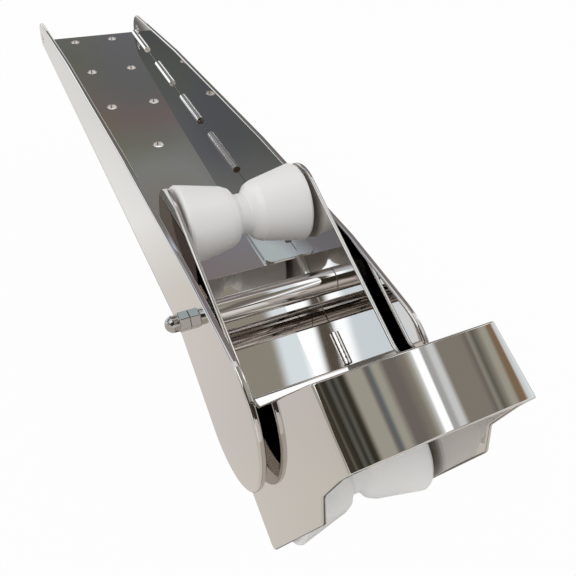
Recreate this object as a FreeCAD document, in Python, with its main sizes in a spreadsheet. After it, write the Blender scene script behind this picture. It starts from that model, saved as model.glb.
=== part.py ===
import FreeCAD, Part
import Sketcher
import math
import os

# Tilting bow roller: a channel that bolts to the deck, and a cradle with two rollers and a hoop
# that tilts on a cross bolt between the channel's side plates.
# Frame: X forward to the bow, Y to port, Z up, millimetres. The origin is the centre of the deck
# bolt pattern on the channel's underside.

os.makedirs("parts", exist_ok=True)

SIZES = [
    # channel
    ("channelWidth", 73.0),
    ("plateThickness", 3.0),
    ("floorThickness", 3.0),
    ("deckEndMargin", 10.0),
    ("floorSetback", 38.4),
    ("notchHalfWidth", 17.0),
    ("notchDepth", 40.0),
    ("notchCorner", 5.0),
    ("recessDepth", 1.5),
    ("deckHoleRadius", 3.3),
    ("deckHolePitch", 58.0),
    ("deckHoleSpacing", 30.0),
    ("backHeight", 19.0),
    ("backCorner", 15.0),
    ("plateOverhang", 1.0),
    ("pinHoleRadius", 3.25),
    ("pinHoleInset", 12.0),
    ("pinHoleHeight", 9.0),
    ("topQuarterShare", 0.15),
    ("topQuarterHeight", 31.5),
    ("topMiddleShare", 0.66),
    ("topMiddleHeight", 41.8),
    ("topFrontHeight", 45.2),
    ("noseReach", 76.4),
    ("noseRadius", 32.5),
    ("noseTopHeight", 42.0),
    ("noseSlopeDrop", 43.0),
    ("plateSoffitReach", 16.0),
    ("soffitRadius", 25.0),
    # pivot
    ("pivotForward", 286.8),
    ("pivotHeight", 19.55),
    ("restTilt", 21.2),
    ("boltRadius", 2.5),
    ("runningClearance", 0.08),
    ("threadClearance", 0.05),
    ("plateHoleClearance", 0.3),
    ("hexAcross", 8.0),
    ("boltHeadHeight", 3.5),
    ("capHexHeight", 4.6),
    ("capHeight", 10.6),
    ("capDomeRadius", 3.75),
    ("capBoreDepth", 7.5),
    ("seatGap", 0.3),
    ("washerRadius", 7.0),
    ("washerThickness", 2.4),
    ("sleeveRadius", 6.0),
    # cradle, measured from the pivot along and square to the cradle floor
    ("cheekThickness", 2.0),
    ("cheekTop", 24.0),
    ("cheekBottom", 25.1),
    ("lobeBack", 61.0),
    ("lobeBottom", 13.0),
    ("lobeCorner", 18.4),
    ("heelTop", 37.0),
    ("heelBottom", 27.5),
    ("heelRound", 4.5),
    ("toeForward", 99.8),
    ("toeRound", 3.0),
    ("browInset", 1.8),
    ("browUp", 49.0),
    ("browRound", 4.0),
    ("legFrontInset", 9.3),
    ("legFrontFootUp", 59.0),
    ("legFrontTopInset", 10.7),
    ("legRearInset", 49.0),
    ("legRearTopInset", 39.2),
    ("legRound", 8.0),
    ("seamUp", 78.0),
    ("crownShoulder", 87.0),
    ("crownPeak", 91.2),
    ("crownThickness", 2.0),
    ("crownBend", 1.0),
    ("crownCorner", 2.4),
    ("cradleFloorBack", 26.0),
    ("cradleFloorFront", 37.0),
    # rollers
    ("axleRadius", 5.0),
    ("collarRadius", 8.0),
    ("rearAxleBack", 42.5),
    ("rearAxleUp", 5.5),
    ("frontAxleForward", 82.8),
    ("frontAxleUp", 1.0),
    ("collarLength", 1.5),
    ("rollerRadius", 19.0),
    ("shoulderRadius", 14.2),
    ("shoulderHalf", 5.8),
    ("neckRadius", 9.6),
    ("neckHalf", 2.4),
    ("rollerEdge", 1.6),
    ("grooveSoftening", 0.2),
    # weld beads
    ("beadRadius", 2.4),
]

doc = FreeCAD.newDocument("TiltingBowRoller")
sheet = doc.addObject("Spreadsheet::Sheet", "Sizes")
for row, (alias, number) in enumerate(SIZES, 1):
    sheet.set("A%d" % row, alias)
    sheet.set("B%d" % row, str(number))
    sheet.setAlias("B%d" % row, alias)
doc.recompute()


class Dim:
    """A size: its number now, and the expression that ties it to the sheet."""

    def __init__(self, number, text):
        self.number = float(number)
        self.text = text

    def __add__(self, other):
        other = as_dim(other)
        return Dim(self.number + other.number, "(%s + %s)" % (self.text, other.text))

    def __sub__(self, other):
        other = as_dim(other)
        return Dim(self.number - other.number, "(%s - %s)" % (self.text, other.text))

    def __mul__(self, other):
        other = as_dim(other)
        return Dim(self.number * other.number, "(%s * %s)" % (self.text, other.text))

    def __truediv__(self, other):
        other = as_dim(other)
        return Dim(self.number / other.number, "(%s / %s)" % (self.text, other.text))

    def __neg__(self):
        return Dim(-self.number, "(0 - %s)" % self.text)


def as_dim(value):
    if isinstance(value, Dim):
        return value
    return Dim(value, repr(float(value)))


def size(alias):
    return Dim(sheet.get(alias), "Sizes." + alias)


def cos_of(angle):
    return Dim(math.cos(math.radians(angle.number)), "cos(%s)" % angle.text)


def sin_of(angle):
    return Dim(math.sin(math.radians(angle.number)), "sin(%s)" % angle.text)


ZERO = as_dim(0.0)
Y_AXIS = FreeCAD.Vector(0, 1, 0)
# turns a primitive's own axis from +Z to +Y
ALONG_Y = FreeCAD.Rotation(FreeCAD.Vector(1, 0, 0), -90)
# index of the two coordinates that a sketch on each origin plane uses
PLANE_AXES = {"XY_Plane": (0, 1), "XZ_Plane": (0, 2), "YZ_Plane": (1, 2)}

pieces = []


def bind(target, path, dim):
    target.setExpression(path, dim.text)


def place(item, x, y, z, tilted=False):
    """Puts an object at x, y, z; a tilted one also turns with the cradle."""
    rotation = item.Placement.Rotation
    if tilted:
        rotation = FreeCAD.Rotation(Y_AXIS, size("restTilt").number)
    item.Placement = FreeCAD.Placement(FreeCAD.Vector(x.number, y.number, z.number), rotation)
    bind(item, "Placement.Base.x", x)
    bind(item, "Placement.Base.y", y)
    bind(item, "Placement.Base.z", z)
    if tilted:
        bind(item, "Placement.Rotation.Angle", size("restTilt"))


def in_cradle(forward, up):
    """A point of the cradle in the channel's frame, at rest."""
    tilt = size("restTilt")
    x = size("pivotForward") + forward * cos_of(tilt) + up * sin_of(tilt)
    z = size("pivotHeight") - forward * sin_of(tilt) + up * cos_of(tilt)
    return x, z


def new_body(label):
    body = doc.addObject("PartDesign::Body", label)
    body.Label = label
    return body


def origin_plane(body, role):
    return [item for item in body.Origin.OriginFeatures if item.Role == role][0]


def new_sketch(body, role):
    sketch = body.newObject("Sketcher::SketchObject", "outline")
    sketch.AttachmentSupport = (origin_plane(body, role), [""])
    sketch.MapMode = "FlatFace"
    return sketch


def pin_point(sketch, element, point, x, y):
    """Ties a sketch point to the origin with two driven distances."""
    for kind, axis, dim in (("DistanceX", -2, x), ("DistanceY", -1, y)):
        if dim.text == ZERO.text:
            sketch.addConstraint(Sketcher.Constraint("PointOnObject", element, point, axis))
            continue
        index = sketch.addConstraint(
            Sketcher.Constraint(kind, -1, 1, element, point, dim.number))
        bind(sketch, "Constraints[%d]" % index, dim)


def draw_outline(sketch, corners, arches):
    """A closed outline of straight sides; arches gives the radius of a curved side, which is
    symmetric about the upright axis, by the number of the corner it leaves."""
    count = len(corners)
    ends = []
    for i in range(count):
        start = FreeCAD.Vector(corners[i][0].number, corners[i][1].number, 0)
        following = corners[(i + 1) % count]
        end = FreeCAD.Vector(following[0].number, following[1].number, 0)
        if i in arches:
            radius = arches[i].number
            centre = FreeCAD.Vector(0, start.y - math.sqrt(radius ** 2 - start.x ** 2), 0)
            reach = math.asin(abs(start.x) / radius)
            circle = Part.Circle(centre, FreeCAD.Vector(0, 0, 1), radius)
            sketch.addGeometry(
                Part.ArcOfCircle(circle, math.pi / 2 - reach, math.pi / 2 + reach), False)
            ends.append((1, 2) if start.x > 0 else (2, 1))
        else:
            sketch.addGeometry(Part.LineSegment(start, end), False)
            ends.append((1, 2))
    for i in range(count):
        following = (i + 1) % count
        sketch.addConstraint(Sketcher.Constraint(
            "Coincident", i, ends[i][1], following, ends[following][0]))
    for i in range(count):
        pin_point(sketch, i, ends[i][0], corners[i][0], corners[i][1])
    for i, radius in arches.items():
        index = sketch.addConstraint(Sketcher.Constraint("Radius", i, radius.number))
        bind(sketch, "Constraints[%d]" % index, radius)


def draw_circle(sketch, x, y, radius):
    element = sketch.addGeometry(Part.Circle(
        FreeCAD.Vector(x.number, y.number, 0), FreeCAD.Vector(0, 0, 1), radius.number), False)
    pin_point(sketch, element, 3, x, y)
    index = sketch.addConstraint(Sketcher.Constraint("Radius", element, radius.number))
    bind(sketch, "Constraints[%d]" % index, radius)


def pad(body, sketch, length):
    feature = body.newObject("PartDesign::Pad", "pad")
    feature.Profile = sketch
    feature.Length = length.number
    bind(feature, "Length", length)
    body.Tip = feature
    sketch.Visibility = False
    doc.recompute()
    return feature


def drill(body, role, circles):
    """Cuts round holes right through a plate, both ways from the sketch's plane."""
    sketch = new_sketch(body, role)
    for x, y, radius in circles:
        draw_circle(sketch, x, y, radius)
    before = body.Tip.Shape.Volume
    feature = body.newObject("PartDesign::Pocket", "holes")
    feature.Profile = sketch
    feature.Type = "ThroughAll"
    body.Tip = feature
    sketch.Visibility = False
    doc.recompute()
    if not feature.Shape.Volume < before - 1e-6:
        feature.Reversed = True
        doc.recompute()
    if not feature.Shape.Volume < before - 1e-6:
        raise RuntimeError("holes of %s don't cut" % body.Label)
    return feature


def corner_edges(shape, role, corners):
    """Names of the edges that stand on the given outline corners."""
    first, second = PLANE_AXES[role]
    names = []
    for number, edge in enumerate(shape.Edges, 1):
        if len(edge.Vertexes) != 2:
            continue
        points = [vertex.Point for vertex in edge.Vertexes]
        for x, y in corners:
            if all(abs(p[first] - x.number) < 1e-3 and abs(p[second] - y.number) < 1e-3
                   for p in points):
                names.append("Edge%d" % number)
    return names


def round_corners(body, role, corners, radius):
    base = body.Tip
    names = corner_edges(base.Shape, role, corners)
    if len(names) != len(corners):
        raise RuntimeError("%s: %d corners of %d found" % (body.Label, len(names), len(corners)))
    feature = body.newObject("PartDesign::Fillet", "round")
    feature.Base = (base, names)
    feature.Radius = radius.number
    bind(feature, "Radius", radius)
    body.Tip = feature
    doc.recompute()
    return feature


def outline_body(label, role, corners, length, arches={}):
    """A plate: the outline of corners (x, y, radius or None), padded, its corners rounded."""
    body = new_body(label)
    sketch = new_sketch(body, role)
    draw_outline(sketch, corners, arches)
    pad(body, sketch, length)
    groups = {}
    for x, y, radius in corners:
        if radius is not None:
            groups.setdefault(radius.text, (radius, []))[1].append((x, y))
    for radius, places in groups.values():
        round_corners(body, role, places, radius)
    return body


def cylinder(radius, height, rotation=ALONG_Y):
    item = doc.addObject("Part::Cylinder", "cylinder")
    item.Radius = radius.number
    item.Height = height.number
    bind(item, "Radius", radius)
    bind(item, "Height", height)
    item.Placement = FreeCAD.Placement(FreeCAD.Vector(0, 0, 0), rotation)
    return item


def boolean(kind, base, tool, label):
    item = doc.addObject(kind, label)
    item.Base = base
    item.Tool = tool
    item.Label = label
    doc.recompute()
    return item


def keep(item):
    pieces.append(item)
    return item


# channel floor: seven deck holes, and a shallow recess in the front end under the rear roller
pivot_x = size("pivotForward")
pivot_z = size("pivotHeight")
pitch = size("deckHolePitch")
half_width = size("channelWidth") / 2
back = -pitch - size("deckEndMargin")
front = pivot_x - size("floorSetback")
notch_end = front - size("notchDepth")
notch_side = size("notchHalfWidth")
base_height = size("floorThickness") - size("recessDepth")
floor_base = outline_body("floor_base", "XY_Plane", [
    (back, -half_width, None),
    (front, -half_width, None),
    (front, half_width, None),
    (back, half_width, None),
], base_height)
floor_skin = outline_body("floor_skin", "XY_Plane", [
    (back, -half_width, None),
    (front, -half_width, None),
    (front, -notch_side, size("notchCorner")),
    (notch_end, -notch_side, size("notchCorner")),
    (notch_end, notch_side, size("notchCorner")),
    (front, notch_side, size("notchCorner")),
    (front, half_width, None),
    (back, half_width, None),
], size("recessDepth"))
side = size("deckHoleSpacing") / 2
hole = size("deckHoleRadius")
deck_holes = [(pitch * 2, ZERO, hole)]
for along in (-pitch, ZERO, pitch):
    for across in (-side, side):
        deck_holes.append((along, across, hole))
for layer in (floor_base, floor_skin):
    drill(layer, "XY_Plane", deck_holes)
place(floor_skin, ZERO, ZERO, base_height)
floor = boolean("Part::Fuse", floor_base, floor_skin, "channel_floor")
floor.Refine = True
keep(floor)

# side plates: a straight foot, a gently rising top edge and a deep round nose ahead of the pivot
plate_back = back - size("plateOverhang")
nose = pivot_x + size("noseReach")
soffit = pivot_x - size("plateSoffitReach")
nose_bottom = -size("noseSlopeDrop")
plate_corners = [
    (plate_back, ZERO, None),
    (soffit, ZERO, size("soffitRadius")),
    (nose, nose_bottom, size("noseRadius")),
    (nose, size("noseTopHeight"), size("noseRadius")),
    (pivot_x, size("topFrontHeight"), None),
    (pivot_x * size("topMiddleShare"), size("topMiddleHeight"), None),
    (pivot_x * size("topQuarterShare"), size("topQuarterHeight"), None),
    (plate_back, size("backHeight"), size("backCorner")),
]
outer_face = half_width + size("plateThickness")
bolt_hole = size("boltRadius") + size("plateHoleClearance")
for name, plate_y in (("side_plate_port", outer_face), ("side_plate_starboard", -half_width)):
    plate = outline_body(name, "XZ_Plane", plate_corners, size("plateThickness"))
    drill(plate, "XZ_Plane", [
        (pivot_x, pivot_z, bolt_hole),
        (back + size("pinHoleInset"), size("pinHoleHeight"), size("pinHoleRadius")),
    ])
    place(plate, ZERO, plate_y, ZERO)
    keep(plate)

# stitch welds: quarter-round beads in the inside corners, as (start, length) along the corner
CHANNEL_BEADS = [(2.0, 37.0), (67.0, 36.0), (126.0, 37.0), (183.0, 45.0), (268.0, 34.0)]
CRADLE_BEADS = [(0.0, 12.0), (45.0, 17.0)]
PORT_CORNER = FreeCAD.Rotation(
    FreeCAD.Vector(0, 0, 1), FreeCAD.Vector(0, -1, 0), FreeCAD.Vector(1, 0, 0))
STARBOARD_CORNER = FreeCAD.Rotation(
    FreeCAD.Vector(0, 1, 0), FreeCAD.Vector(0, 0, 1), FreeCAD.Vector(1, 0, 0))


def weld_group(label, beads, origin_x, y, z, rotation):
    items = []
    for start, length in beads:
        bead = cylinder(size("beadRadius"), as_dim(length), rotation)
        bead.Angle = 90
        place(bead, origin_x + start, y, z)
        items.append(bead)
    group = doc.addObject("Part::Compound", label)
    group.Label = label
    group.Links = items
    doc.recompute()
    return group


floor_top = size("floorThickness")
keep(weld_group("floor_welds_port", CHANNEL_BEADS, back, half_width, floor_top, PORT_CORNER))
keep(weld_group("floor_welds_starboard", CHANNEL_BEADS, back, -half_width, floor_top,
                STARBOARD_CORNER))


# pivot hardware: a hexagon bolt from port, and a domed cap nut on the starboard side
def hex_block(height, face_to_port):
    """A hexagon with its outer face chamfered, standing on y = 0."""
    prism = doc.addObject("Part::Prism", "hexagon")
    prism.Polygon = 6
    corner_radius = size("hexAcross") / math.sqrt(3.0)
    prism.Circumradius = corner_radius.number
    prism.Height = height.number
    bind(prism, "Circumradius", corner_radius)
    bind(prism, "Height", height)
    cone = doc.addObject("Part::Cone", "chamfer")
    top = size("hexAcross") / 2
    foot = top + height * math.sqrt(3.0)
    cone.Radius1 = foot.number
    cone.Radius2 = top.number
    cone.Height = height.number
    bind(cone, "Radius1", foot)
    bind(cone, "Radius2", top)
    bind(cone, "Height", height)
    block = boolean("Part::Common", prism, cone, "hex_block")
    turn = -90 if face_to_port else 90
    block.Placement = FreeCAD.Placement(
        FreeCAD.Vector(0, 0, 0), FreeCAD.Rotation(FreeCAD.Vector(1, 0, 0), turn))
    return block


nut_face = -outer_face
bore_end = nut_face - size("capBoreDepth")
bolt_end = bore_end + size("seatGap")
shank = cylinder(size("boltRadius"), outer_face - bolt_end)
place(shank, pivot_x, bolt_end, pivot_z)
head = hex_block(size("boltHeadHeight"), True)
place(head, pivot_x, outer_face, pivot_z)
keep(boolean("Part::Fuse", head, shank, "pivot_bolt"))

cap_hex = hex_block(size("capHexHeight"), False)
place(cap_hex, pivot_x, nut_face, pivot_z)
dome_radius = size("capDomeRadius")
dome_length = size("capHeight") - dome_radius
dome_y = nut_face - dome_length
dome_wall = cylinder(dome_radius, dome_length)
place(dome_wall, pivot_x, dome_y, pivot_z)
dome = doc.addObject("Part::Sphere", "dome")
dome.Radius = dome_radius.number
bind(dome, "Radius", dome_radius)
place(dome, pivot_x, dome_y, pivot_z)
cap = boolean("Part::Fuse", dome_wall, dome, "cap")
cap_solid = boolean("Part::Fuse", cap_hex, cap, "cap_solid")
cap_bore = cylinder(size("boltRadius") + size("threadClearance"), size("capBoreDepth") * 2)
place(cap_bore, pivot_x, bore_end, pivot_z)
keep(boolean("Part::Cut", cap_solid, cap_bore, "pivot_cap_nut"))

# thin washers fill the play between the cradle's cheeks and the side plates
washer_thickness = size("washerThickness")
cheek_outer = half_width - washer_thickness - size("seatGap")
cheek_inner = cheek_outer - size("cheekThickness")
cheek_span = cheek_inner * 2
for name, washer_y in (("pivot_washer_port", half_width - washer_thickness),
                       ("pivot_washer_starboard", -half_width)):
    disc = cylinder(size("washerRadius"), washer_thickness)
    place(disc, pivot_x, washer_y, pivot_z)
    washer_hole = cylinder(size("boltRadius") + size("runningClearance"), washer_thickness * 3)
    place(washer_hole, pivot_x, washer_y - washer_thickness, pivot_z)
    keep(boolean("Part::Cut", disc, washer_hole, name))

# cradle cheeks: round rear lobe, heel, toe, and the leg that rises to the hoop
bottom = -size("cheekBottom")
lobe_back = -size("lobeBack")
lobe_bottom = -size("lobeBottom")
toe = size("toeForward")
leg_front_top = toe - size("legFrontTopInset")
leg_rear_foot = toe - size("legRearInset")
leg_rear_top = toe - size("legRearTopInset")
cheek_corners = [
    (lobe_back, lobe_bottom, size("lobeCorner")),
    (-size("heelTop"), lobe_bottom, size("heelRound")),
    (-size("heelBottom"), bottom, size("heelRound")),
    (toe, bottom, size("toeRound")),
    (toe - size("browInset"), size("browUp"), size("browRound")),
    (toe - size("legFrontInset"), size("legFrontFootUp"), size("browRound")),
    (leg_front_top, size("seamUp"), None),
    (leg_rear_top, size("seamUp"), None),
    (leg_rear_foot, size("cheekTop"), size("legRound")),
    (lobe_back, size("cheekTop"), size("lobeCorner")),
]
running_bore = size("boltRadius") + size("runningClearance")
rear_axle_x = -size("rearAxleBack")
for name, cheek_y in (("cheek_port", cheek_outer), ("cheek_starboard", -cheek_inner)):
    cheek = outline_body(name, "XZ_Plane", cheek_corners, size("cheekThickness"))
    drill(cheek, "XZ_Plane", [
        (ZERO, ZERO, running_bore),
        (rear_axle_x, size("rearAxleUp"), size("axleRadius")),
        (size("frontAxleForward"), size("frontAxleUp"), size("axleRadius")),
    ])
    place(cheek, pivot_x, cheek_y, pivot_z, tilted=True)
    keep(cheek)

# cradle floor between the cheeks, level with their bottom edges
floor_back = -size("cradleFloorBack")
floor_front = size("cradleFloorFront")
floor_up = bottom + size("floorThickness")
cradle_floor = outline_body("cradle_floor", "XZ_Plane", [
    (floor_back, bottom, None),
    (floor_front, bottom, None),
    (floor_front, floor_up, None),
    (floor_back, floor_up, None),
], cheek_span)
place(cradle_floor, pivot_x, cheek_inner, pivot_z, tilted=True)
keep(cradle_floor)

for name, bead_y, corner in (("cradle_welds_port", cheek_inner, PORT_CORNER),
                             ("cradle_welds_starboard", -cheek_inner, STARBOARD_CORNER)):
    welds = weld_group(name, CRADLE_BEADS, floor_back, bead_y, floor_up, corner)
    place(welds, pivot_x, ZERO, pivot_z, tilted=True)
    keep(welds)

# pivot sleeve between the cheeks
tube = cylinder(size("sleeveRadius"), cheek_span)
place(tube, pivot_x, -cheek_inner, pivot_z)
tube_bore = cylinder(running_bore, cheek_span * 2)
place(tube_bore, pivot_x, -cheek_span, pivot_z)
keep(boolean("Part::Cut", tube, tube_bore, "pivot_sleeve"))

# hoop crown: an arched strip with bent-down ends on the tops of the legs
seam = size("seamUp")
shoulder = size("crownShoulder")
peak = size("crownPeak")
thickness = size("crownThickness")
drop = peak - shoulder


def arch_radius(half_span):
    return (half_span * half_span + drop * drop) / (drop * 2)


strip = outline_body("crown_strip", "YZ_Plane", [
    (-cheek_outer, seam, None),
    (-cheek_inner, seam, None),
    (-cheek_inner, shoulder - thickness, size("crownBend")),
    (cheek_inner, shoulder - thickness, size("crownBend")),
    (cheek_inner, seam, None),
    (cheek_outer, seam, None),
    (cheek_outer, shoulder, size("crownCorner")),
    (-cheek_outer, shoulder, size("crownCorner")),
], toe, {2: arch_radius(cheek_inner), 6: arch_radius(cheek_outer)})
lean = (leg_rear_top - leg_rear_foot) / (seam - size("cheekTop"))
rise = peak + thickness - seam
side_view = outline_body("crown_side", "XZ_Plane", [
    (leg_rear_top, seam, None),
    (leg_front_top, seam, None),
    (leg_front_top, seam + rise, None),
    (leg_rear_top + lean * rise, seam + rise, None),
], cheek_outer * 2)
place(side_view, ZERO, cheek_outer, ZERO)
crown = boolean("Part::Common", strip, side_view, "hoop_crown")
place(crown, pivot_x, ZERO, pivot_z, tilted=True)
keep(crown)

# axles with collars that keep each roller in the middle, ends flush with the cheeks' outer faces
# rollers: hard plastic spools that run on them, tapering to a rounded groove in the middle
collar_end = cheek_inner - size("collarLength")
roller_half = collar_end - size("seatGap")
axle = size("axleRadius")
collar = size("collarRadius")
roller_bore = axle + size("runningClearance")
axle_profile = [
    (ZERO, -cheek_outer, None),
    (axle, -cheek_outer, None),
    (axle, -cheek_inner, None),
    (collar, -cheek_inner, None),
    (collar, -collar_end, None),
    (axle, -collar_end, None),
    (axle, collar_end, None),
    (collar, collar_end, None),
    (collar, cheek_inner, None),
    (axle, cheek_inner, None),
    (axle, cheek_outer, None),
    (ZERO, cheek_outer, None),
]


def toward(start, end, share):
    """The point a share of the way from one profile corner to the next."""
    return start[0] + (end[0] - start[0]) * share, start[1] + (end[1] - start[1]) * share


rim = size("rollerRadius")
edge = size("rollerEdge")
soft = size("grooveSoftening")
rim_turns = [as_dim(step) for step in (0, 45, 90)]
rim_corners = [
    (rim - edge + edge * sin_of(turn), roller_half - edge + edge * cos_of(turn))
    for turn in rim_turns
]
shoulder_corner = (size("shoulderRadius"), size("shoulderHalf"))
neck_corner = (size("neckRadius"), size("neckHalf"))
groove_corners = [
    toward(shoulder_corner, rim_corners[-1], soft / 2),
    toward(shoulder_corner, neck_corner, soft),
    toward(neck_corner, shoulder_corner, soft),
    (neck_corner[0], neck_corner[1] * (as_dim(1.0) - soft)),
]
port_half = rim_corners + groove_corners
starboard_half = [(radius, -y) for radius, y in reversed(port_half)]
roller_profile = [(radius, y, None) for radius, y in
                  [(roller_bore, roller_half)] + port_half + starboard_half
                  + [(roller_bore, -roller_half)]]


def turned_body(label, profile):
    """A round piece on the Y axis, from its half profile."""
    body = new_body(label)
    sketch = new_sketch(body, "XY_Plane")
    draw_outline(sketch, profile, {})
    feature = body.newObject("PartDesign::Revolution", "turn")
    feature.Profile = sketch
    feature.ReferenceAxis = (sketch, ["V_Axis"])
    feature.Angle = 360
    body.Tip = feature
    sketch.Visibility = False
    doc.recompute()
    return body


roller_places = (
    ("rear", in_cradle(rear_axle_x, size("rearAxleUp"))),
    ("front", in_cradle(size("frontAxleForward"), size("frontAxleUp"))),
)
for end, (axle_x, axle_z) in roller_places:
    pin = turned_body(end + "_axle", axle_profile)
    place(pin, axle_x, ZERO, axle_z)
    keep(pin)
    roller = turned_body(end + "_roller", roller_profile)
    place(roller, axle_x, ZERO, axle_z)
    keep(roller)

doc.recompute()

for item in doc.Objects:
    if "Invalid" in item.State or "Error" in item.State:
        raise RuntimeError("%s is %s" % (item.Label, item.State))
for piece in pieces:
    if piece.Shape.isNull() or not piece.Shape.isValid():
        raise RuntimeError("%s has a bad shape" % piece.Label)
for piece in pieces:
    piece.Shape.exportStep("parts/%s.step" % piece.Label)
    box = piece.Shape.BoundBox
    print("%-24s x %7.1f %7.1f  y %6.1f %6.1f  z %6.1f %6.1f  solids %d" % (
        piece.Label, box.XMin, box.XMax, box.YMin, box.YMax, box.ZMin, box.ZMax,
        len(piece.Shape.Solids)))
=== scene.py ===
import math

import bpy
from mathutils import Matrix, Vector

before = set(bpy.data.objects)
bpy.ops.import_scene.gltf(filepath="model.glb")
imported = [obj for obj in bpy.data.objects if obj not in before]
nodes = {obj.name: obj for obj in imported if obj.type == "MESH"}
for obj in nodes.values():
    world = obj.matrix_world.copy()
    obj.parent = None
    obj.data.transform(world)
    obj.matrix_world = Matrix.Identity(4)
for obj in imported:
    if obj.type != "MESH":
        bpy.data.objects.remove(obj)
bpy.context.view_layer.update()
scene = bpy.context.scene


# Helpers for node trees

def add(tree, kind, **values):
    node = tree.nodes.new(kind)
    for key, value in values.items():
        setattr(node, key, value)
    return node


def feed(tree, socket, value):
    """Gives an input another node's output or a plain value."""
    if isinstance(value, bpy.types.NodeSocket):
        tree.links.new(value, socket)
    else:
        socket.default_value = value


def calculate(tree, operation, *values):
    node = add(tree, "ShaderNodeMath", operation=operation)
    for socket, value in zip(node.inputs, values):
        feed(tree, socket, value)
    return node.outputs["Value"]


def calculate_vector(tree, operation, first, second, result="Vector"):
    """The result of a vector math node: a vector, or a number where result is Value."""
    node = add(tree, "ShaderNodeVectorMath", operation=operation)
    feed(tree, node.inputs[0], first)
    feed(tree, node.inputs[1], second)
    return node.outputs[result]


def map_range(tree, value, start, end, low=0.0, high=1.0):
    """Carries the span from start to end over to the span from low to high."""
    node = add(tree, "ShaderNodeMapRange")
    limits = {"From Min": start, "From Max": end, "To Min": low, "To Max": high}
    for name, limit in limits.items():
        node.inputs[name].default_value = limit
    tree.links.new(value, node.inputs["Value"])
    return node.outputs["Result"]


def mixed(tree, data_type, factor, first, second, blend_type="MIX"):
    """A mix of two colours or of two numbers."""
    node = add(tree, "ShaderNodeMix", data_type=data_type, blend_type=blend_type)
    for name, value in (("Factor", factor), ("A", first), ("B", second)):
        feed(tree, node.inputs[name], value)
    return node.outputs["Result"]


def ramp(tree, share, stops):
    """A colour ramp through (place, colour) stops."""
    node = add(tree, "ShaderNodeValToRGB")
    elements = node.color_ramp.elements
    while len(elements) < len(stops):
        elements.new(0.5)
    for element, (place, colour) in zip(elements, stops):
        element.position = place
        element.color = (*colour, 1)
    tree.links.new(share, node.inputs["Fac"])
    return node.outputs["Color"]


def noise(tree, scale, detail=3.0):
    """A noise over the piece's own coordinates, which are metres."""
    place = add(tree, "ShaderNodeTexCoord")
    texture = add(tree, "ShaderNodeTexNoise")
    texture.inputs["Scale"].default_value = scale
    texture.inputs["Detail"].default_value = detail
    tree.links.new(place.outputs["Object"], texture.inputs["Vector"])
    return texture.outputs["Fac"]


# Nearly all of a noise lies between these values
NOISE_LOW, NOISE_HIGH = 0.3, 0.7


def uneven(tree, source, low, high):
    return map_range(tree, source, NOISE_LOW, NOISE_HIGH, low, high)


def bump(tree, shader, height, strength, distance):
    node = add(tree, "ShaderNodeBump")
    node.inputs["Strength"].default_value = strength
    node.inputs["Distance"].default_value = distance
    tree.links.new(height, node.inputs["Height"])
    tree.links.new(node.outputs["Normal"], shader.inputs["Normal"])


# Materials

def new_material(name):
    material = bpy.data.materials.new(name)
    material.use_nodes = True
    tree = material.node_tree
    return material, tree, tree.nodes["Principled BSDF"]


def polished_steel(name, colour, roughness, wave):
    """Mirror-polished stainless steel: faint haze and a very slight hand-buffed waviness."""
    material, tree, shader = new_material(name)
    shader.inputs["Base Color"].default_value = (*colour, 1)
    shader.inputs["Metallic"].default_value = 1.0
    haze = noise(tree, 60.0)
    tree.links.new(uneven(tree, haze, *roughness), shader.inputs["Roughness"])
    bump(tree, shader, noise(tree, 28.0, detail=1.0), strength=wave, distance=0.001)
    return material


def weld_metal():
    """Bright weld bead with fine ripples across it."""
    material, tree, shader = new_material("weld bead")
    shader.inputs["Base Color"].default_value = (0.86, 0.84, 0.82, 1)
    shader.inputs["Metallic"].default_value = 1.0
    grain = noise(tree, 400.0)
    tree.links.new(uneven(tree, grain, 0.08, 0.14), shader.inputs["Roughness"])
    place = add(tree, "ShaderNodeTexCoord")
    ripple = add(tree, "ShaderNodeTexWave", bands_direction="X")
    ripple.inputs["Scale"].default_value = 110.0
    ripple.inputs["Distortion"].default_value = 3.0
    tree.links.new(place.outputs["Object"], ripple.inputs["Vector"])
    bump(tree, shader, ripple.outputs["Fac"], strength=0.06, distance=0.0003)
    return material


def white_plastic():
    """Hard white plastic that lets a little light in, with a satin finish."""
    material, tree, shader = new_material("white hard plastic")
    shader.inputs["Base Color"].default_value = (0.88, 0.87, 0.85, 1)
    shader.inputs["Subsurface Weight"].default_value = 0.6
    shader.inputs["Subsurface Scale"].default_value = 0.006
    shader.inputs["Subsurface Radius"].default_value = (1.0, 0.92, 0.85)
    soft = noise(tree, 45.0)
    tree.links.new(uneven(tree, soft, 0.34, 0.44), shader.inputs["Roughness"])
    bump(tree, shader, noise(tree, 1500.0, detail=1.0), strength=0.05, distance=0.0002)
    return material


STEEL = (0.64, 0.605, 0.58)
FASTENER_STEEL = (0.45, 0.43, 0.41)
FASTENERS = ("pivot_bolt", "pivot_cap_nut")

steel = polished_steel("polished stainless", STEEL, roughness=(0.012, 0.035), wave=0.02)
turned = polished_steel("polished fastener", FASTENER_STEEL, roughness=(0.03, 0.07), wave=0.0)
weld = weld_metal()
plastic = white_plastic()

for name, node in nodes.items():
    if "weld" in name:
        finish = weld
    elif "roller" in name or "washer" in name:
        finish = plastic
    elif name in FASTENERS:
        finish = turned
    else:
        finish = steel
    node.data.materials.clear()
    node.data.materials.append(finish)


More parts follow.
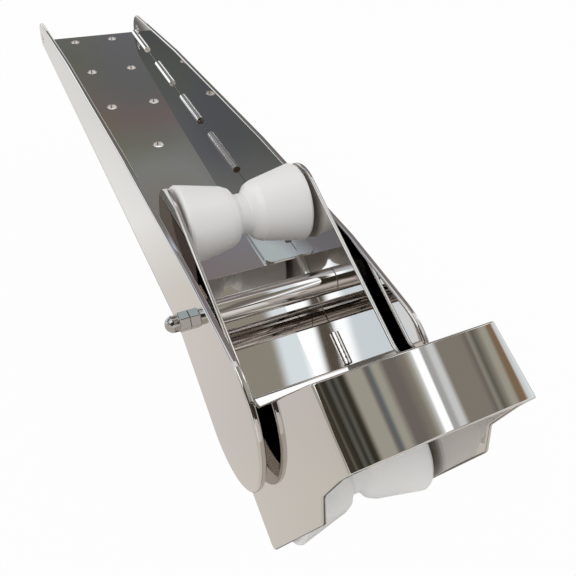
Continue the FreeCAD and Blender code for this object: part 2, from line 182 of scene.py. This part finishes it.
# Rounded rims, which catch the light: how wide the rounding is, in metres
RIMS = {
    "channel_floor": 0.0003,
    "side_plate_port": 0.0011,
    "side_plate_starboard": 0.0011,
    "cheek_port": 0.0008,
    "cheek_starboard": 0.0008,
    "cradle_floor": 0.0004,
    "hoop_crown": 0.0006,
    "pivot_sleeve": 0.0004,
    "pivot_cap_nut": 0.0003,
}
RIM_SEGMENTS = 4
CHEEKS = ("cheek_port", "cheek_starboard")
FLUSH_PINS = ("rear_axle", "front_axle")
# Edges that turn more than this are rims, and faces that differ less than this are one face
RIM_ANGLE = math.radians(50)
FLAT_ANGLE = math.radians(0.3)
# The cradle is tilted nose-down by this much at rest
TILT = math.radians(21.2)
# Points closer than this are one point
SAME_POINT = 1e-6
# Edges this close to a pin's hole or to the hoop's seam belong to it
NEAR = 0.0005


def local_corners(item, of):
    """The corners of one node's box, in the other node's own coordinates."""
    turn = of.matrix_world.inverted() @ item.matrix_world
    return [turn @ Vector(corner) for corner in item.bound_box]


def pin_axis(pin, plate):
    """Centre and radius, in the plate's own coordinates, of a pin that runs along Y."""
    corners = local_corners(pin, plate)
    spans = [(min(c[i] for c in corners), max(c[i] for c in corners)) for i in (0, 2)]
    (low_x, high_x), (low_z, high_z) = spans
    return Vector(((low_x + high_x) / 2, 0, (low_z + high_z) / 2)), (high_z - low_z) / 2


def mark_rims(item, pins, seam):
    """Joins the faces' shared edges and marks the sharp ones to be rounded.

    The holes of flush pins and the ground seam of hoop and leg stay as they are. The seam is
    a direction and the height along it above which the edges belong to the seam.
    """
    tree = bpy.data.node_groups.new("rims of " + item.name, "GeometryNodeTree")
    tree.interface.new_socket("Geometry", in_out="INPUT", socket_type="NodeSocketGeometry")
    tree.interface.new_socket("Geometry", in_out="OUTPUT", socket_type="NodeSocketGeometry")
    given = add(tree, "NodeGroupInput")
    joined = add(tree, "GeometryNodeMergeByDistance")
    joined.inputs["Distance"].default_value = SAME_POINT
    plain = add(tree, "GeometryNodeRemoveAttribute")
    plain.inputs["Name"].default_value = "custom_normal"
    smooth = add(tree, "GeometryNodeSetShadeSmooth")
    turn = add(tree, "GeometryNodeInputMeshEdgeAngle").outputs["Unsigned Angle"]
    place = add(tree, "GeometryNodeInputPosition").outputs["Position"]
    sharp = calculate(tree, "GREATER_THAN", turn, RIM_ANGLE)
    rounded = sharp
    flat = calculate_vector(tree, "MULTIPLY", place, (1, 0, 1))
    for centre, radius in pins:
        away = calculate_vector(tree, "DISTANCE", flat, centre, result="Value")
        clear = calculate(tree, "GREATER_THAN", away, radius + NEAR)
        rounded = calculate(tree, "MULTIPLY", rounded, clear)
    if seam:
        direction, height = seam
        reach = calculate_vector(tree, "DOT_PRODUCT", place, direction, result="Value")
        below = calculate(tree, "LESS_THAN", reach, height)
        rounded = calculate(tree, "MULTIPLY", rounded, below)
    kept_sharp = calculate(tree, "SUBTRACT", sharp, rounded)
    result = add(tree, "NodeGroupOutput")
    stores = []
    for attribute, kind, source in (("bevel_weight_edge", "FLOAT", rounded),
                                    ("sharp_edge", "BOOLEAN", kept_sharp)):
        store = add(tree, "GeometryNodeStoreNamedAttribute", data_type=kind, domain="EDGE")
        store.inputs["Name"].default_value = attribute
        tree.links.new(source, store.inputs["Value"])
        stores.append(store)
    chain = [given, joined, plain, smooth, *stores, result]
    for before, after in zip(chain, chain[1:]):
        tree.links.new(before.outputs["Geometry"], after.inputs["Geometry"])
    item.modifiers.new("rim edges", "NODES").node_group = tree


def seam_of(item):
    """Where the hoop's crown meets the legs, along the cradle's own up direction."""
    up = Vector((math.sin(TILT), 0, math.cos(TILT)))
    heights = [up.dot(vertex.co) for vertex in item.data.vertices]
    if item.name in CHEEKS:
        return up, max(heights) - NEAR
    if item.name == "hoop_crown":
        return -up, -min(heights) - NEAR
    return None


bpy.context.view_layer.update()
for name, width in RIMS.items():
    item = nodes[name]
    pins = [pin_axis(nodes[pin], item) for pin in FLUSH_PINS] if name in CHEEKS else []
    mark_rims(item, pins, seam_of(item))
    whole_faces = item.modifiers.new("whole faces", "DECIMATE")
    whole_faces.decimate_type = "DISSOLVE"
    whole_faces.angle_limit = FLAT_ANGLE
    rim = item.modifiers.new("rim", "BEVEL")
    rim.width = width
    rim.segments = RIM_SEGMENTS
    rim.limit_method = "WEIGHT"
    rim.harden_normals = True
    rim.use_clamp_overlap = False


# Helpers for the stage: the floor and the cards that the polished steel mirrors

def stage_plane(name, centre, right, up, width, height):
    """A card standing at centre, spanned by two directions."""
    right = Vector(right).normalized()
    up = Vector(up).normalized()
    centre = Vector(centre)
    corners = [centre + right * (width * i / 2) + up * (height * j / 2)
               for i, j in ((-1, -1), (1, -1), (1, 1), (-1, 1))]
    mesh = bpy.data.meshes.new(name)
    mesh.from_pydata(corners, [], [(0, 1, 2, 3)])
    mesh.uv_layers.new(name="across")
    card = bpy.data.objects.new(name, mesh)
    scene.collection.objects.link(card)
    return card


def only_mirrored(card):
    """The card is seen in polished surfaces only."""
    card.visible_camera = False
    card.visible_diffuse = False
    card.visible_shadow = False
    card.visible_transmission = False


def glow(name):
    material = bpy.data.materials.new(name)
    material.use_nodes = True
    tree = material.node_tree
    tree.nodes.clear()
    output = add(tree, "ShaderNodeOutputMaterial")
    emission = add(tree, "ShaderNodeEmission")
    tree.links.new(emission.outputs["Emission"], output.inputs["Surface"])
    return material, tree, emission


def srgb_to_linear(value):
    value = value / 255
    return value / 12.92 if value <= 0.04045 else ((value + 0.055) / 1.055) ** 2.4


def mirrored(tone, bounces=1, cosine=1.0):
    """The light that the steel shows as the given tone after one or two bounces.

    The cosine is that of the view to the face's normal: steel mirrors more at a grazing view.
    """
    shares = [metal + (1 - metal) * (1 - cosine) ** 5 for metal in STEEL]
    return tuple(srgb_to_linear(value) / share ** bounces for value, share in zip(tone, shares))


# Floor: white to the camera, while the steel shows it grey to beige along the object: for
# mirror rays the floor glows with a painted reflection that holds painted shade, lightest
# around the middle and darkest towards the nose
FLOOR_CENTRE = (0.2, 0, -0.084)
FLOOR_SIZE = 40
FLOOR_COLOUR = (0.86, 0.85, 0.84, 1)
FLOOR_ROUGHNESS = 0.9
SHADE_START, SHADE_END = -0.4, 0.4
PAINTED_SHADE_ALONG_OBJECT = [
    (0.0, mirrored((212, 210, 206), cosine=0.11)),
    (0.37, mirrored((217, 215, 211), cosine=0.13)),
    (0.60, mirrored((229, 228, 225), cosine=0.16)),
    (0.70, mirrored((205, 199, 192), cosine=0.20)),
    (0.86, mirrored((196, 189, 183), cosine=0.23)),
    (0.92, mirrored((194, 188, 179), cosine=0.28)),
    (1.0, mirrored((192, 186, 177), cosine=0.28)),
]
# The rest of what the camera and the steel see is the floor's own colour with its shadow
WHITE_SHARE = 0.96
# Painted shadow: the steel shows the floor right under the channel as dark, as the floor's glow
# for mirror rays is turned down there
DARK_HALF_WIDTH, LIGHT_HALF_WIDTH = 0.030, 0.044
PAINTED_SHADOW_UNDER_CHANNEL = 0.2


def floor_material():
    material, tree, shader = new_material("floor")
    shader.inputs["Base Color"].default_value = FLOOR_COLOUR
    shader.inputs["Roughness"].default_value = FLOOR_ROUGHNESS
    path = add(tree, "ShaderNodeLightPath").outputs
    place = add(tree, "ShaderNodeTexCoord")
    parts = add(tree, "ShaderNodeSeparateXYZ")
    tree.links.new(place.outputs["Object"], parts.inputs["Vector"])
    # Painted shade along the object, in the tone that the steel mirrors
    along = map_range(tree, parts.outputs["X"], SHADE_START, SHADE_END)
    shade = ramp(tree, along, PAINTED_SHADE_ALONG_OBJECT)
    # Painted shadow under the channel, seen only in the steel
    aside = calculate(tree, "ABSOLUTE", parts.outputs["Y"])
    clear = map_range(tree, aside, DARK_HALF_WIDTH, LIGHT_HALF_WIDTH, low=PAINTED_SHADOW_UNDER_CHANNEL)
    white = add(tree, "ShaderNodeEmission")
    colour = mixed(tree, "RGBA", path["Is Glossy Ray"], (1, 1, 1, 1), shade)
    strength = mixed(tree, "FLOAT", path["Is Glossy Ray"], 1.0, clear)
    tree.links.new(colour, white.inputs["Color"])
    tree.links.new(strength, white.inputs["Strength"])
    seen = calculate(tree, "MAXIMUM", path["Is Camera Ray"], path["Is Glossy Ray"])
    mix = add(tree, "ShaderNodeMixShader")
    tree.links.new(calculate(tree, "MULTIPLY", seen, WHITE_SHARE), mix.inputs["Fac"])
    tree.links.new(shader.outputs["BSDF"], mix.inputs[1])
    tree.links.new(white.outputs["Emission"], mix.inputs[2])
    tree.links.new(mix.outputs["Shader"], tree.nodes["Material Output"].inputs["Surface"])
    return material


floor = stage_plane("floor", FLOOR_CENTRE, (1, 0, 0), (0, 1, 0), FLOOR_SIZE, FLOOR_SIZE)
floor.data.materials.append(floor_material())


# Painted reflections: glowing cards, seen only in polished surfaces, that stand for the dark
# ends of the room beyond the channel, which its floor and inner faces mirror.
# The stops run from a card's foot to its top.
PAINTED_BACK_OF_ROOM = [
    (0.2, mirrored((96, 96, 95))),
    (0.3, mirrored((92, 93, 88))),
    (0.36, mirrored((104, 94, 87))),
    (0.42, mirrored((104, 104, 96))),
    (0.48, mirrored((118, 118, 119))),
    (0.6, mirrored((118, 108, 105))),
]
# Below its first stop the side card is white, a painted highlight; above it the tones are
# painted reflections seen after two bounces
PAINTED_SIDE_OF_ROOM = [
    (0.24, mirrored((255, 255, 255))),
    (0.28, mirrored((64, 64, 64), 2)),
    (0.38, mirrored((70, 70, 70), 2)),
    (0.48, mirrored((76, 77, 75), 2)),
    (0.6, mirrored((94, 94, 93), 2)),
    (0.7, mirrored((104, 102, 99), 2)),
    (0.78, mirrored((160, 166, 172), 2)),
]
# Patches move the stops up or down by this share of the card's height
STRAY = 0.06
# Blots of a slight tint, by the value of their noise
TINTS = [(0.38, (0.99, 0.97, 1.08)), (0.5, (1, 1, 1)), (0.62, (1.0, 1.02, 0.93))]


def painted_reflection_card(name, stops, **plane):
    """A glowing card seen only in polished surfaces, a painted reflection, whose tone changes
    from its foot to its top, with uneven tone and tint.
    """
    card = stage_plane(name, **plane)
    only_mirrored(card)
    material, tree, emission = glow(name)
    place = add(tree, "ShaderNodeUVMap", uv_map="across")
    parts = add(tree, "ShaderNodeSeparateXYZ")
    tree.links.new(place.outputs["UV"], parts.inputs["Vector"])
    stray = uneven(tree, noise(tree, 2.5, detail=1.0), -STRAY, STRAY)
    height_share = calculate(tree, "ADD", parts.outputs["Y"], stray)
    tone = ramp(tree, height_share, stops)
    tint = ramp(tree, noise(tree, 5.0, detail=1.0), TINTS)
    tinted = mixed(tree, "RGBA", 1.0, tone, tint, blend_type="MULTIPLY")
    tree.links.new(tinted, emission.inputs["Color"])
    card.data.materials.append(material)


painted_reflection_card("painted back of the room", PAINTED_BACK_OF_ROOM, centre=(-0.75, 0.45, 0.75), right=(0.5, 0.87, 0),
         up=(0.55, -0.3, 0.8), width=2.2, height=1.5)
painted_reflection_card("painted side of the room", PAINTED_SIDE_OF_ROOM, centre=(-0.95, -0.75, 0.7), right=(-0.45, 0.89, 0),
         up=(0.5, 0.3, 0.8), width=1.8, height=1.5)

# Painted reflections, with painted highlights where the bands are white: tones that stand for
# the room over the hoop and over the cradle, as the steel shows them, glowing on arches seen
# only in polished surfaces
NEAR_BLACK = mirrored((44, 42, 36))
DARK_BROWN = mirrored((58, 51, 41))
OLIVE_GREY = mirrored((88, 86, 78))
BEIGE = mirrored((152, 147, 135))
SLATE = mirrored((88, 96, 98))
PLUM = mirrored((103, 96, 91))
TAUPE = mirrored((123, 116, 106))
BROWN_GREY = mirrored((135, 129, 117))
GREY = mirrored((158, 157, 156))
PALE = mirrored((194, 194, 193))
BLUISH_WHITE = mirrored((212, 219, 222))
WHITE = mirrored((255, 255, 255))
TAN = mirrored((120, 100, 78))
COLD_LIGHT_TWICE = mirrored((196, 203, 206), 2)
WHITE_TWICE = mirrored((250, 250, 250), 2)
DARK_BROWN_TWICE = mirrored((78, 70, 60), 2)

# Both lists run from starboard to port, as degrees from straight up
HOOP_BANDS = [
    (-90, PALE), (-66, PALE), (-60, DARK_BROWN), (-10, DARK_BROWN), (-8.5, OLIVE_GREY),
    (-7, DARK_BROWN), (-4, NEAR_BLACK), (-2.6, OLIVE_GREY), (-1.2, NEAR_BLACK), (0, OLIVE_GREY),
    (1.2, NEAR_BLACK), (2.4, DARK_BROWN), (4.2, BEIGE), (9.2, BEIGE), (10.5, PLUM),
    (11.8, SLATE), (13.3, BEIGE), (15, BEIGE), (17.5, PLUM), (21, PLUM), (25, TAUPE),
    (26.6, BEIGE), (28.2, PALE), (28.8, WHITE), (31.4, WHITE), (32, GREY), (33.6, GREY),
    (35, PALE), (36.6, PALE), (38.4, TAUPE), (48, TAUPE), (50.2, PLUM), (51.6, BROWN_GREY),
    (53.4, OLIVE_GREY), (55.5, TAUPE), (57.3, BEIGE), (59.2, BEIGE), (60.6, TAN), (63, TAN),
    (64.4, PALE), (70, BLUISH_WHITE), (90, BLUISH_WHITE),
]
CRADLE_BANDS = [
    (-90, BEIGE), (-52, BEIGE), (-49, WHITE), (-36, WHITE), (-31, COLD_LIGHT_TWICE),
    (-27.4, COLD_LIGHT_TWICE), (-26.4, WHITE_TWICE), (-25.2, WHITE_TWICE),
    (-24.4, DARK_BROWN_TWICE), (-22.9, DARK_BROWN_TWICE), (-22.2, WHITE_TWICE),
    (-19.5, WHITE_TWICE), (-15, TAUPE), (0, BROWN_GREY), (20.2, BROWN_GREY),
    (21.4, BLUISH_WHITE), (23.8, BLUISH_WHITE), (24.6, WHITE), (25.8, WHITE), (33, PALE),
]
ARCH_UP = 0.06
ARCH_STEPS_PER_DEGREE = 3


def tone_at(bands, angle):
    for (start, low), (end, high) in zip(bands, bands[1:]):
        if start <= angle <= end:
            share = (angle - start) / (end - start)
            return tuple(p + (q - p) * share for p, q in zip(low, high))
    return bands[-1][1]


def painted_reflection_arch(name, bands, radius, start_x, end_x):
    """Part of a glowing cylinder over the object, along X, seen only in polished surfaces,
    whose tone follows its angle: a painted reflection.
    """
    first, last = bands[0][0], bands[-1][0]
    count = int((last - first) * ARCH_STEPS_PER_DEGREE)
    angles = [first + i / ARCH_STEPS_PER_DEGREE for i in range(count + 1)]
    points = []
    faces = []
    for i, angle in enumerate(angles):
        y = radius * math.sin(math.radians(angle))
        z = ARCH_UP + radius * math.cos(math.radians(angle))
        points += [(start_x, y, z), (end_x, y, z)]
        if i:
            faces.append((2 * i - 2, 2 * i - 1, 2 * i + 1, 2 * i))
    mesh = bpy.data.meshes.new(name)
    mesh.from_pydata(points, [], faces)
    shade = mesh.color_attributes.new("band", "FLOAT_COLOR", "POINT")
    for i, angle in enumerate(angles):
        colour = (*tone_at(bands, angle), 1)
        shade.data[2 * i].color = colour
        shade.data[2 * i + 1].color = colour
    arch = bpy.data.objects.new(name, mesh)
    scene.collection.objects.link(arch)
    only_mirrored(arch)
    material, tree, emission = glow(name)
    colours = add(tree, "ShaderNodeVertexColor", layer_name="band")
    tree.links.new(colours.outputs["Color"], emission.inputs["Color"])
    arch.data.materials.append(material)


# Painted reflections over the cradle and over the hoop
painted_reflection_arch("over the cradle", CRADLE_BANDS, radius=0.9, start_x=0.05, end_x=0.46)
painted_reflection_arch("over the hoop", HOOP_BANDS, radius=0.92, start_x=0.3, end_x=1.7)


# Lamps, as name, place, width, height and watts
LAMPS = (
    ("key", (0.9, -1.1, 1.3), 1.0, 1.0, 7),
    ("fill", (-0.9, -0.9, 1.0), 1.0, 1.0, 3),
    ("back", (0.1, 1.3, 1.2), 1.2, 0.8, 3),
)
LAMP_TARGET = Vector((0.22, 0, 0.02))

for name, place, width, height, watts in LAMPS:
    light = bpy.data.lights.new(name, "AREA")
    light.shape = "RECTANGLE"
    light.size = width
    light.size_y = height
    light.energy = watts
    lamp = bpy.data.objects.new(name, light)
    lamp.location = place
    lamp.rotation_mode = "QUATERNION"
    lamp.rotation_quaternion = (LAMP_TARGET - Vector(place)).to_track_quat("-Z", "Y")
    scene.collection.objects.link(lamp)


# World: white where it is seen directly or in a mirror, and softer as light on the object
WORLD_LIGHT, WORLD_SEEN = 0.62, 1.0

world = bpy.data.worlds.new("studio")
scene.world = world
world.use_nodes = True
tree = world.node_tree
background = tree.nodes["Background"]
path = add(tree, "ShaderNodeLightPath").outputs
seen = calculate(tree, "MAXIMUM", path["Is Camera Ray"], path["Is Glossy Ray"])
seen = calculate(tree, "MAXIMUM", seen, path["Is Transmission Ray"])
level = map_range(tree, seen, 0.0, 1.0, WORLD_LIGHT, WORLD_SEEN)
tree.links.new(level, background.inputs["Strength"])
background.inputs["Color"].default_value = (1, 1, 1, 1)


# Camera, as the photograph was taken: its place in metres and its image's three directions
SENSOR_WIDTH = 36.0
LENS = 38.75
EYE = Vector((0.466173, -0.096997, 0.215831))
RIGHT = Vector((0.438885, 0.894933, 0.080466))
DOWN = Vector((0.639489, -0.248189, -0.727637))
FORWARD = Vector((-0.631215, 0.370807, -0.681227))

camera = bpy.data.objects.new("camera", bpy.data.cameras.new("camera"))
scene.collection.objects.link(camera)
scene.camera = camera
camera.data.sensor_width = SENSOR_WIDTH
camera.data.lens = LENS
camera.data.clip_start = 0.01
camera.data.clip_end = 100
turn = Matrix((RIGHT, -DOWN, -FORWARD)).transposed().to_4x4()
camera.matrix_world = Matrix.Translation(EYE) @ turn

scene.view_settings.view_transform = "Standard"
